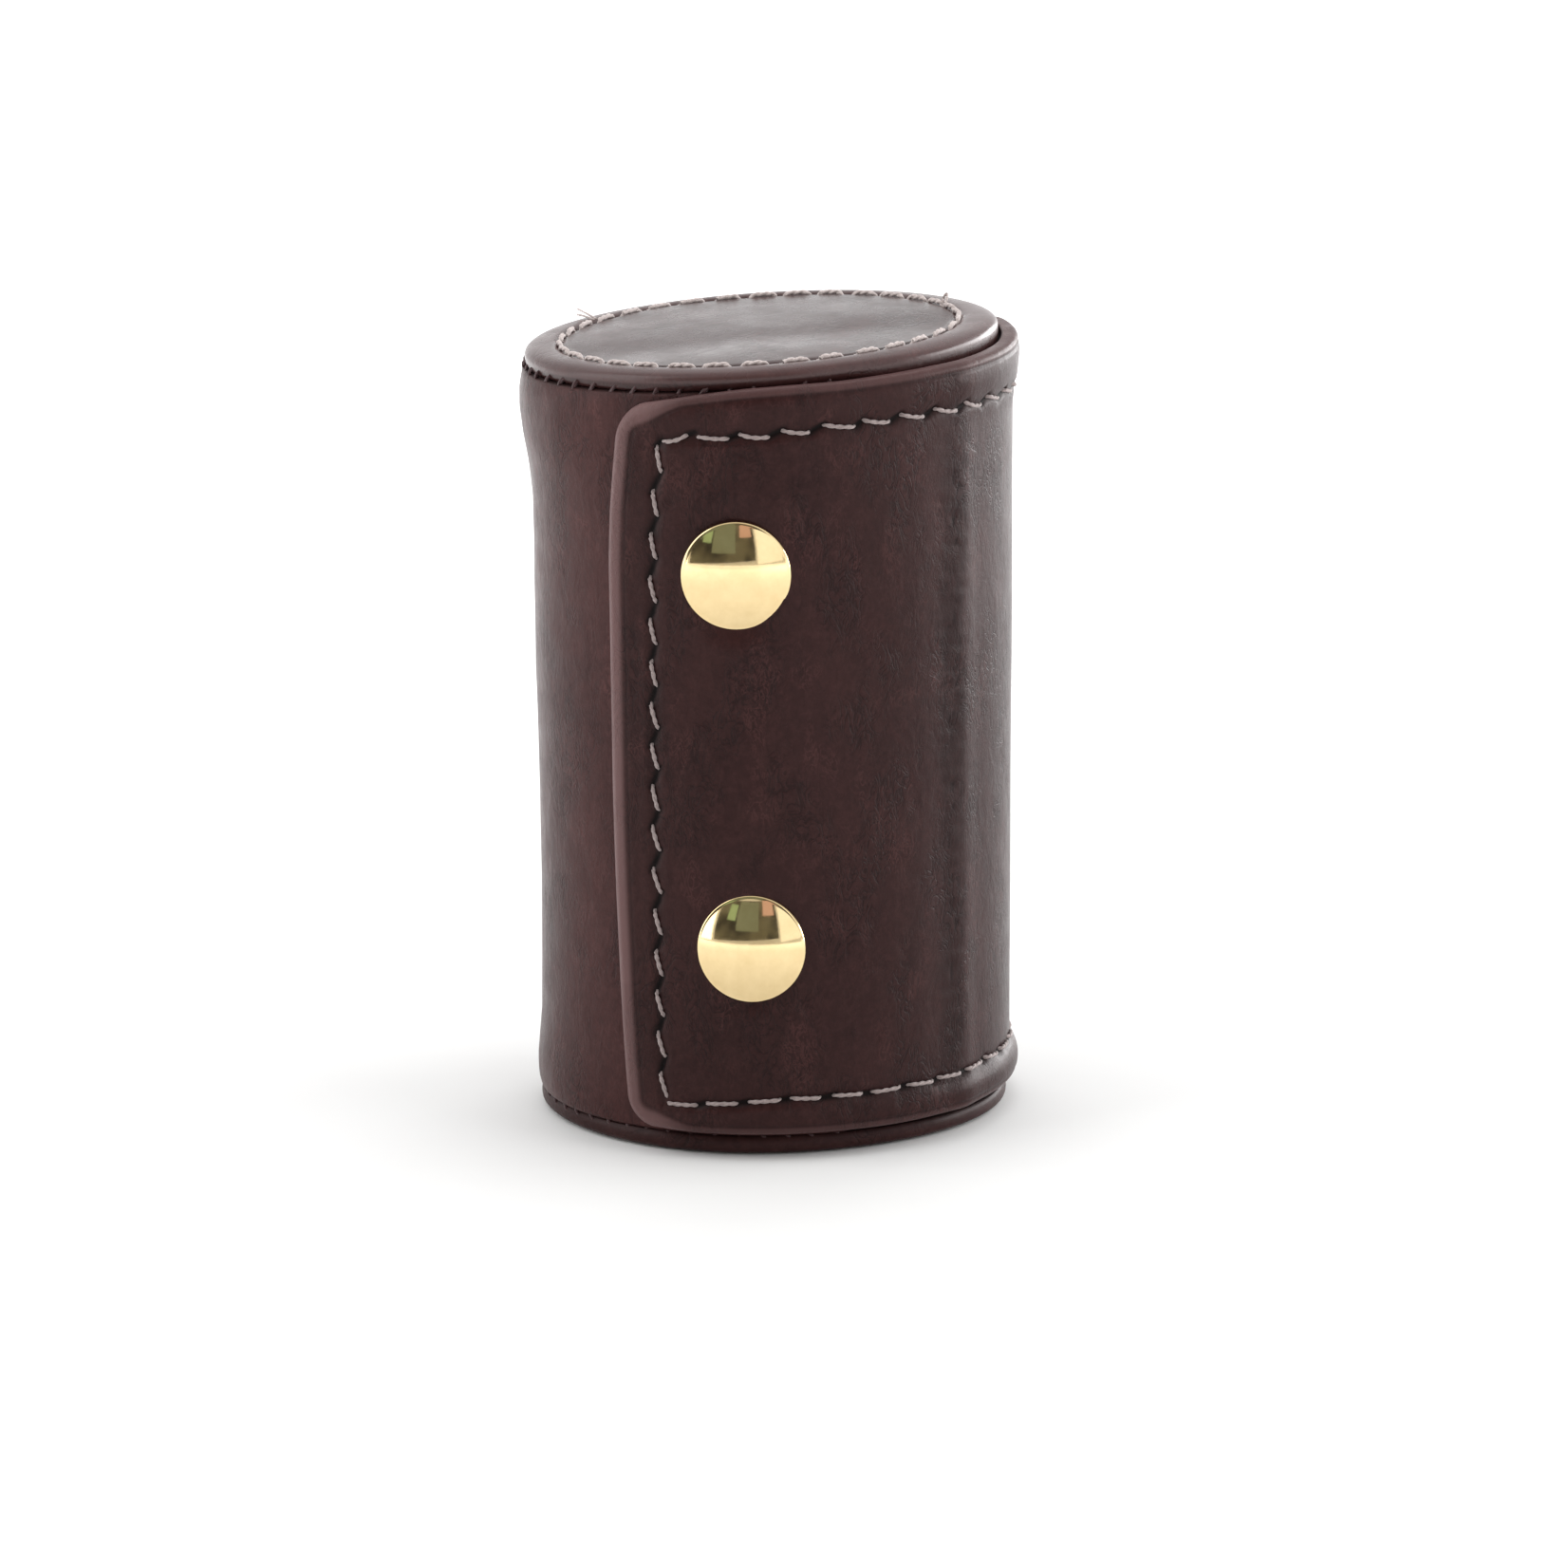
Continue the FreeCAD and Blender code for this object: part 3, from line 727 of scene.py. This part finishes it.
def flap_rows():
    """Ends of every stitch on the flap, as (turn, height), and of the dark slits between them."""
    rng = np.random.default_rng(3)
    stitches = [((-17.2, 82.95), (-11.2, 83.75))]
    slits = [((-11.2, 83.75), (-9.6, 84.0))]

    def run_round(turn, row, pitch, fall, share, until=134):
        last = None
        while turn < until:
            shown = (pitch * share + rng.normal(0, 0.12)) / FLAP_ARC
            lean = fall + rng.normal(0, 0.06)
            start = (turn, along(turn, row) + lean)
            end = (turn + shown, along(turn + shown, row) - lean)
            if last is not None:
                slits.append((last, start))
            stitches.append((start, end))
            last = end
            turn += pitch / FLAP_ARC + rng.normal(0, 0.25)

    run_round(-9.4, TOP_ROW, pitch=4.85, fall=0.34, share=0.73)
    run_round(-19.0, BOTTOM_ROW, pitch=4.9, fall=0.06, share=0.79)
    z, last = 6.9, None
    while z < 81:
        lean = (0.40 + rng.normal(0, 0.05)) / FLAP_ARC
        low = (along(z, SIDE_ROW) + lean, z)
        high = (along(z + 3.0, SIDE_ROW) - lean, z + 3.0)
        if last is not None:
            slits.append((last, low))
        stitches.append((low, high))
        last = high
        z += 4.83 + rng.normal(0, 0.07)
    slits.append((last, (-17.6, 82.9)))
    for z in 8.4 + 4.8 * np.arange(16):
        stitches.append(((STRIP_ROW + 0.5, z), (STRIP_ROW - 0.5, z + 3.2)))
        slits.append(((STRIP_ROW - 0.5, z + 3.2), (STRIP_ROW + 0.5, z + 4.8)))
    return stitches, slits


flap_stitches, flap_slits = flap_rows()


def row_channel(turn, z, width=0.62):
    """How deep in a row's channel a point lies, from 0 to 1."""
    across = (turn - along(z, SIDE_ROW)) * FLAP_ARC
    strip = (turn - STRIP_ROW) * FLAP_ARC
    top = z - along(turn, TOP_ROW)
    low = z - along(turn, BOTTOM_ROW)
    upright = np.maximum(bell(across, 0, width), bell(strip, 0, width)) * (top < 0.4) * (low > -0.4)
    level = np.maximum(bell(top, 0, width), bell(low, 0, width)) * (across > -0.4) * (strip < 0.4)
    return np.maximum(upright, level)


def slit_depth(turn, z):
    """1 in the dark holes between stitches, 0 away from them."""
    pit = np.zeros(turn.shape)
    for (t0, z0), (t1, z1) in flap_slits:
        near = (np.abs(turn - (t0 + t1) / 2) < 5) & (np.abs(z - (z0 + z1) / 2) < 3)
        if not near.any():
            continue
        px, py = (turn[near] - t0) * FLAP_ARC, z[near] - z0
        dx, dy = (t1 - t0) * FLAP_ARC, z1 - z0
        s = np.clip((px * dx + py * dy) / (dx * dx + dy * dy), -0.12, 1.12)
        pit[near] = np.maximum(pit[near], bell(np.hypot(px - s * dx, py - s * dy), 0, 0.34))
    return pit


def flap_relief(turn, z, pit):
    """Height of the padding, channels and slits above the flap's plain outer face, and the channels."""
    channel = row_channel(turn, z)
    inside = (turn > along(z, SIDE_ROW)) & (z < along(turn, TOP_ROW)) & (z > along(turn, BOTTOM_ROW))
    across = (turn - tip_at(z)) * FLAP_ARC
    rim = np.minimum(np.minimum(across, top_at(turn) - z), z - bottom_at(turn))
    puff = 0.16 * bell(rim, 2.2, 1.5) * (~inside)
    return puff - 0.24 * channel - 0.30 * pit, channel


def edge_distance(turn, z, has_tip):
    """Distance from the flap's free outline, with rounded corners at the tip."""
    tall = np.minimum(top_at(turn) - z, z - bottom_at(turn))
    if not has_tip:
        return np.clip(np.minimum(tall, (STRIP_TURN - turn) * FLAP_ARC), 0, None)
    across = (turn - tip_at(z)) * FLAP_ARC
    corner = (across < TIP_CORNER) & (tall < TIP_CORNER)
    rounded = TIP_CORNER - np.hypot(TIP_CORNER - across, TIP_CORNER - tall)
    return np.clip(np.where(corner, rounded, np.minimum(tall, across)), 0, None)


def edge_steps(fine, far):
    """Distances from an edge: packed at its rounding, then even."""
    curve = TIP_ROUND * (1 - np.cos(np.linspace(0, math.pi / 2, 13)))
    return np.concatenate([curve, np.arange(TIP_ROUND + 0.12, TIP_ROUND + 0.5, 0.12),
                           np.arange(TIP_ROUND + 0.6, far, fine)])


def flap_grid(turn_from, turn_to, has_tip):
    """Turns and heights of a flap piece's points, packed along its free edges."""
    near = edge_steps(0.27, 6.4)
    length = (turn_to - turn_from) * FLAP_ARC
    if has_tip:
        across = np.concatenate([near, np.linspace(6.7, length, 132)])
    else:
        across = np.concatenate([np.linspace(0, length - 4.3, 60), length - edge_steps(0.35, 4.0)[::-1]])
    start = turn_from + across / FLAP_ARC
    low, high = bottom_at(start), top_at(start)
    share = np.linspace(0, 1, 182)[1:-1]
    z = np.stack([np.concatenate([l + near, l + PACKED + share * (h - l - 2 * PACKED), (h - near)[::-1]])
                  for l, h in zip(low, high)], 1)
    turn = np.broadcast_to(start, z.shape)
    if not has_tip:
        return turn, z
    # Near the tip the columns follow its bowed edge and round its corners.
    tip = tip_at(z) + round_over(np.minimum(z - low, high - z), TIP_CORNER) / FLAP_ARC
    turn = turn + (tip - turn_from) * (1 - smooth(across, 0, 16))
    for _ in range(3):
        new_low, new_high = bottom_at(turn), top_at(turn)
        z = new_low + (z - low) / (high - low) * (new_high - new_low)
        low, high = new_low, new_high
    return turn, z


def crease_folds(turn, z):
    """The small folds where the flap bends at its crease: their painted shade, depth and a faint lighter
    band beside them.
    """
    fade = smooth(z, 3, 12) * (1 - 0.6 * smooth(z, 72, 84))
    wander = 0.7 * ripple(z, 0 * z, 63, 16)
    band = smooth(turn, 47.0 + wander, 50.5 + wander) * (1 - smooth(turn, 55.0 + wander, 57.0 + wander))
    cracks = 0.7 * ripple(turn * 1.3, z * 0.7, 61, 3.6) + 0.8 * ripple(turn * 1.5, z, 64, 1.7)
    pinch = smooth(cracks, 0.5, 1.8) * bell(turn, 52.4 + wander, 2.2)
    waves = bell(turn, 52.4, 5.0) * ripple(turn * FLAP_WAVE, z * 1.6, 62, 2.6)
    lighter_band = 0.03 * bell(turn, 45.0 + wander, 2.6)
    return (0.32 * band + 0.42 * pinch) * fade, (0.08 * pinch + 0.04 * waves) * fade, lighter_band * fade


def socket_pocket(points, level, ring=5.32, floor=28.53, step=0.34):
    """A clean round hollow in the lining that the snap's socket sits in."""
    out, side, height = snap_ways(level)
    across, tall = points @ side, points[..., 2] - height
    apart = np.hypot(across, tall)
    facing = points @ out > 0
    tidy = np.where((apart < ring) & (apart > ring - step), ring - 0.02,
                    np.where((apart >= ring) & (apart < ring + step), ring + 0.05, apart))
    grow = np.where(facing & (apart > 0.1), tidy / np.clip(apart, 0.1, None), 1) - 1
    moved = points + (grow * across)[..., None] * side + (grow * tall)[..., None] * np.array([0, 0, 1])
    return moved + np.where(facing & (tidy < ring), floor - moved @ out, 0)[..., None] * out


def flap_sheet(name, turn_from, turn_to, has_tip):
    """A piece of the flap: leather outside and round its free edges, lining inside."""
    turn, z = flap_grid(turn_from, turn_to, has_tip)
    gap = edge_distance(turn, z, has_tip)
    outer, inner = flap_faces(turn, z)
    pit = slit_depth(turn, z)
    relief, channel = flap_relief(turn, z, pit)
    fold_shade, dent, lighter_band = crease_folds(turn, z)
    by_tip = 1 - smooth((turn - tip_at(z)) * FLAP_ARC, 3.0, 9.0) if has_tip else 0 * z
    rounding = EDGE_ROUND_OUT + (TIP_ROUND - EDGE_ROUND_OUT) * by_tip
    strip = EDGE_STRIP + (TIP_STRIP - EDGE_STRIP) * by_tip
    strip_line = bell(gap, strip + 0.10, 0.20)
    outer_r = outer + relief * smooth(gap, 0.3, 1.4) - 0.10 * strip_line - round_over(gap, rounding) - dent
    inner_r = inner + round_over(gap, EDGE_ROUND_IN)
    faces_at = [around(outer_r, turn, z), around(inner_r, turn, z)]
    if has_tip:
        for level in SNAPS:
            faces_at[0] = press(faces_at[0], level, reach=5.4, depth=CAP_SEAT - 0.02, fade=3.6)
            faces_at[1] = socket_pocket(faces_at[1], level)
    rest = [np.stack([turn * FLAP_ARC, z, r], -1) for r in (outer_r, inner_r)]
    # Painted shade in the stitch slits and channels, along the line inside the edge strip, and in the
    # crease's folds.
    shade = np.clip(1.15 * pit + 0.2 * channel + 0.22 * strip_line + fold_shade, 0, 1)
    # The paler strip along the free edges: worn leather, with a painted highlight added near the tip, where
    # it faces the light from the left, and less of it below a height of 20.
    rubbed = (1 - smooth(gap, strip * 0.72, strip + 0.15)) * (1 - 0.42 * np.clip(gap / strip, 0, 1))
    worn_and_highlight = rubbed * (0.42 - 0.12 * (z < 20) + 0.58 * by_tip) + lighter_band
    faces = two_sided_faces(*z.shape, open_column=z.shape[1] - 1 if has_tip else 0)
    lined = (gap[:-1, :-1] > 1.2).ravel()
    slots = np.zeros(len(faces))
    slots[len(lined):2 * len(lined)] = lined
    return make_object(name, faces_at, faces, [SHADED_FLAP_LEATHER, LINING], rest, [shade, 0 * shade],
                       [worn_and_highlight, 0.7 * (gap < 1.2)], slots)


def flap_surface(turn, z, lift):
    outer, _ = flap_faces(turn, z)
    return around(outer - 0.10 + lift, turn, z)


def front_stitch(ends):
    """A stitch of the front piece. Those along the top hang down a little in the middle."""
    sag = sag_rng.uniform(0.05, 0.38) if ends[0][1] > 82 else 0.0
    return sewn(ends, flap_surface, sag=sag)


flap_front_skin = flap_sheet("flap_front_skin", FLAP_FROM, JOIN_TURN, True)
flap_rear_skin = flap_sheet("flap_rear_skin", JOIN_TURN, STRIP_TURN, False)
sag_rng = np.random.default_rng(17)
flap_front_thread = twisted_threads("flap_front_thread", THREAD, [
    front_stitch(ends) for ends in flap_stitches if ends[1][0] < JOIN_TURN])
flap_rear_thread = twisted_threads("flap_rear_thread", THREAD, [
    sewn(ends, flap_surface) for ends in flap_stitches if ends[1][0] >= JOIN_TURN])


# ---------------- snap caps

def snap_cap(level, yaw, pitch, dome=1.75, shoulder=0.35):
    """A polished domed cap and the rivet behind it, turned a little by yaw and pitch in degrees."""
    sphere = (CAP_RADIUS ** 2 + dome ** 2) / (2 * dome)
    profile = [(r, shoulder + math.sqrt(sphere ** 2 - r ** 2) - sphere + dome)
               for r in np.linspace(0.02, CAP_RADIUS - 0.30, 36)]
    last_r, last_h = profile[-1]
    profile += [(last_r + (CAP_RADIUS - last_r) * math.sin(angle),
                 last_h - (last_h - 0.05) * (1 - math.cos(angle)))
                for angle in np.linspace(0, math.pi / 2, 9)[1:]]
    profile += [(CAP_RADIUS - 0.25, -0.02), (1.5, -0.02), (1.0, -0.05), (1.0, -0.65), (1.7, -0.66),
                (1.7, -0.77), (0.02, -0.77)]
    r, h = np.array(profile).T[:, :, None]
    a = np.linspace(0, 2 * math.pi, 97)[:-1]
    points = np.stack(np.broadcast_arrays(r * np.cos(a), -h, r * np.sin(a)), -1)
    turn, height = SNAPS[level]
    tilt = Matrix.Rotation(math.radians(yaw), 3, "Z") @ Matrix.Rotation(math.radians(pitch), 3, "X")
    spin = Matrix.Rotation(math.radians(turn), 3, "Z")
    placed = (points @ np.array(tilt).T + [0, -CAP_SEAT, 0]) @ np.array(spin).T + [0, 0, height]
    made = make_object(level + "_cap_polished", placed, capped_faces(len(r), len(a)), [GOLD])
    fix_normals(made)
    return made


upper_cap = snap_cap("upper", 4.5, 3.0)
lower_cap = snap_cap("lower", -3.0, -3.0)


# ---------------- the pieces and the frame

FOR_NODES = {f"{place}_{part}": material for place in ("base", "top", "wall")
             for part, material in (("board", BOARD), ("lining", LINING_FIXED))}
FOR_NODES |= {f"{level}_snap_{part}": material for level in SNAPS
              for part, material in (("stud", BRASS), ("post", BRASS), ("socket", BRASS), ("spring", STEEL))}
for node, material in FOR_NODES.items():
    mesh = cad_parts[node].data
    mesh.materials.clear()
    mesh.materials.append(material)


def crossing(turn, height=47.0):
    """A point of the flap in metres, halfway up."""
    return tuple(float(v) * MM for v in around(FLAP_OUT, turn, height))


BEND_REACH = 10  # degrees to each side of a hinge; points of the flap there are worked out but not used


def stand_for(piece, nodes, body=None, bend=None):
    """Attach a piece to a body, or for a bend only bake its place into its mesh; hide the CAD nodes it
    stands for.
    """
    if body:
        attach(piece, body)
    else:
        rear_body, front_body, turn = bend
        crossing(turn + BEND_REACH)
        crossing(turn - BEND_REACH)
        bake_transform(piece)
    if nodes:
        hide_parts(*nodes)


AT_CREASE = ("flap_side", "flap_front", CREASE_TURN)
AT_ROOT = ("case", "flap_side", ROOT_TURN)
stand_for(top_pad, ["top_cover"], "case")
stand_for(base_pad, ["base_cover"], "case")
stand_for(top_thread, ["top_stitching"], "case")
stand_for(tail_thread, [], "case")
stand_for(base_thread, ["base_stitching"], "case")
stand_for(wall_skin, ["wall_leather"], "case")
stand_for(top_seam_stitches, ["top_seam_thread"], "case")
stand_for(base_seam_stitches, ["base_seam_thread"], "case")
stand_for(wall_edge_thread, ["wall_edge_stitching"], "case")
stand_for(flap_front_skin,
          [f"flap_{part}_{layer}" for part in ("front", "side")
           for layer in ("leather", "stiffener", "lining")], bend=AT_CREASE)
stand_for(flap_rear_skin, ["flap_root_strip"], bend=AT_ROOT)
stand_for(flap_front_thread, ["flap_front_stitching", "flap_side_stitching"], bend=AT_CREASE)
stand_for(flap_rear_thread, ["flap_root_stitching"], bend=AT_ROOT)
stand_for(upper_cap, ["upper_snap_cap"], "flap_front")
stand_for(lower_cap, ["lower_snap_cap"], "flap_front")


# ---------------- studio

FLOOR_HEIGHT, FLOOR_SIZE = -0.0001, 30  # metres
FLOOR_NEAR, FLOOR_FAR = 60, 300  # millimetres from the axis between which the paper's painted shade round the case fades to white
GLOW_NEAR, GLOW_FAR = 180, 700  # and between which it starts to glow
FRONT_LIGHT, BACK_LIGHT = 0.64, 1.32
PANEL_HEIGHT = 0.05  # the panels' rises are measured from this height on the case's axis


def stage_mesh(name, points, faces, material):
    """A mesh of the studio, from points in metres."""
    mesh = bpy.data.meshes.new(name)
    mesh.from_pydata(points, [], faces)
    mesh.materials.append(material)
    made = bpy.data.objects.new(name, mesh)
    bpy.context.scene.collection.objects.link(made)
    return made


def floor_paper():
    """White paper, painted in shade near the case and glowing away from it."""
    material, tree, shader = new_material("floor_paper")
    away = tree.nodes.new("ShaderNodeVectorMath")
    away.operation = "LENGTH"
    fill(tree, away, {0: place_input(tree, False)})
    away = away.outputs["Value"]
    paper_with_painted_shade = ramp(tree, span(tree, away, FLOOR_NEAR, FLOOR_FAR, 0, 1),
                 (0.0, (0.855, 0.855, 0.85)), (1.0, (0.95, 0.95, 0.95)))
    fill(tree, shader, {"Base Color": paper_with_painted_shade, "Roughness": 0.9, "Specular IOR Level": 0.1,
                        "Emission Color": (1, 1, 1, 1),
                        "Emission Strength": span(tree, away, GLOW_NEAR, GLOW_FAR, 0, 0.5)})
    return material


half = FLOOR_SIZE / 2
floor = stage_mesh("floor", [(-half, -half, 0), (half, -half, 0), (half, half, 0), (-half, half, 0)],
                   [[0, 1, 2, 3]], floor_paper())
floor.location.z = FLOOR_HEIGHT

world = bpy.data.worlds.new("studio")
bpy.context.scene.world = world
world.use_nodes = True
sky = world.node_tree
direction = add_node(sky, "SeparateXYZ", {"Vector": add_node(sky, "TexCoord", {}).outputs["Generated"]})
fill(sky, sky.nodes["Background"], {
    "Color": (1, 1, 1, 1), "Strength": span(sky, direction.outputs["Y"], -1, 1, FRONT_LIGHT, BACK_LIGHT)})


def reflected(name, turns, rises, distance, material, tilt=0.0, lights=True, mirrored=True):
    """A curved panel round the case that the camera doesn't see, between two turns and two rises."""
    turns, rises = np.linspace(*turns, 13), np.linspace(*rises, 9)
    points = []
    for rise in rises:
        for step, turn in enumerate(turns):
            up = math.radians(rise + tilt * step / (len(turns) - 1))
            height = PANEL_HEIGHT + distance * math.sin(up)
            points.append(around(distance * math.cos(up), turn, height).tolist())
    made = stage_mesh(name, points, grid_faces(len(rises), len(turns)), material)
    made.visible_camera = made.visible_shadow = made.visible_transmission = False
    made.visible_diffuse = lights
    made.visible_glossy = mirrored


def curtain_cloth():
    """Dark folds."""
    material, tree, shader = new_material("curtain_cloth")
    place = place_input(tree, False)
    folds = noise(tree, stretched(tree, place, (0.0022, 0.0022, 0.0014)), 1.0, 1, 0.5)
    colour = ramp(tree, folds, (0.36, (0.018, 0.017, 0.015)), (0.62, (0.085, 0.082, 0.064)))
    fill(tree, shader, {"Base Color": colour, "Roughness": 1.0})
    return material


def glow(name, strength, colour=(1, 1, 1)):
    material, tree, shader = new_material(name)
    fill(tree, shader, {"Base Color": (0, 0, 0, 1), "Emission Color": (*colour, 1),
                        "Emission Strength": strength})
    return material


# What lights the case, or is mirrored in it, or both: turns, rises, and the distance in metres.
reflected("dark_curtain", (-48, 24), (1, 44), 1.6, curtain_cloth(), tilt=4.0)
for name, place, colour in (("pale_fold", ((-24, 2), (13, 45), 1.55), (0.155, 0.190, 0.145)),
                            ("green_leaf", ((-36, -26), (23, 40), 1.54), (0.30, 0.46, 0.27)),
                            ("orange_leaf", ((7, 21), (30, 47), 1.54), (0.62, 0.40, 0.38))):
    reflected(name, *place, glow(name + "_glow", 1.0, colour), lights=False)
reflected("left_panel", (-97, -51), (0, 55), 1.7, glow("left_glow", 2.8))
reflected("right_panel", (50, 125), (2, 50), 1.7, glow("right_glow", 2.7), mirrored=False)
reflected("right_glint", (86, 160), (-1, 20), 1.6, glow("right_glint_glow", 8.0), lights=False)
reflected("front_glint", (26, 54), (1, 44), 1.65, glow("front_glint_glow", 1.25), tilt=2.0, lights=False)
reflected("back_light", (145, 215), (36, 75), 1.8, glow("back_light_glow", 2.4), mirrored=False)
reflected("back_shade", (150, 225), (15, 42), 1.9, glow("back_glow", 0.7), lights=False)

CAMERA_PLACE = (0.04612, -0.52823, 0.1487)
CAMERA_RIGHT = Vector((0.99634, 0.08449, -0.01296))
CAMERA_UP = Vector((-0.00332, 0.18968, 0.98184))
camera_data = bpy.data.cameras.new("camera")
camera_data.lens = 104.2
camera_data.sensor_width = 36
camera_data.shift_x = 0.0128
camera_data.shift_y = -0.0444
camera = bpy.data.objects.new("camera", camera_data)
back = CAMERA_RIGHT.cross(CAMERA_UP).normalized()
turned = Matrix((CAMERA_RIGHT.normalized(), back.cross(CAMERA_RIGHT).normalized(), back)).transposed()
camera.matrix_world = Matrix.Translation(CAMERA_PLACE) @ turned.to_4x4()
bpy.context.scene.collection.objects.link(camera)
bpy.context.scene.camera = camera

bpy.context.scene.view_settings.view_transform = "Standard"
bpy.context.scene.view_settings.look = "None"
